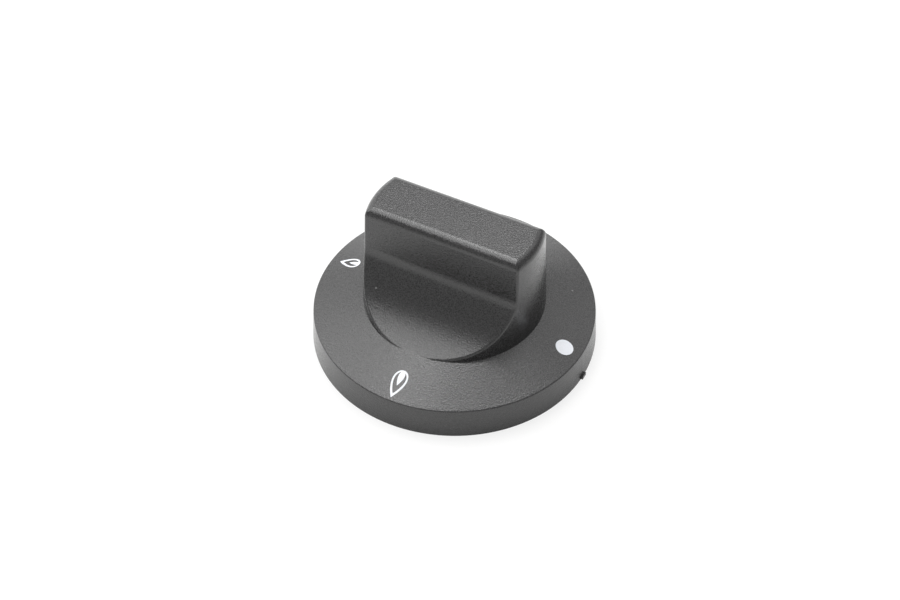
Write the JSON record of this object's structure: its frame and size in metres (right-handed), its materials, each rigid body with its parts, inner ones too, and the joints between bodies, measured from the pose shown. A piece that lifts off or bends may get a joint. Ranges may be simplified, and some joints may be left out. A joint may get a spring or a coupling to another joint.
{
  "type": "gas valve knob",
  "caption": "Push-on gas valve knob: round skirt with a conical top, bar grip with scooped sides, hollow underside and hub with a D-shaped spindle socket.",
  "frame": {"origin": "centre of the rim's foot, on the axis that the knob turns about", "axes": "+X along the bar towards its pointing end, +Z along the turning axis away from the cooker's panel"},
  "size_m": [0.0705, 0.07, 0.0375],
  "materials": {
    "knob_plastic": "moulded charcoal plastic with a fine satin grain",
    "spring_steel": "rolled spring strip",
    "mark_ink": "white printed ink"
  },
  "bodies": {
    "root": {"knob_body": "knob_plastic", "shaft_spring": "spring_steel"}
  },
  "joints": []
}
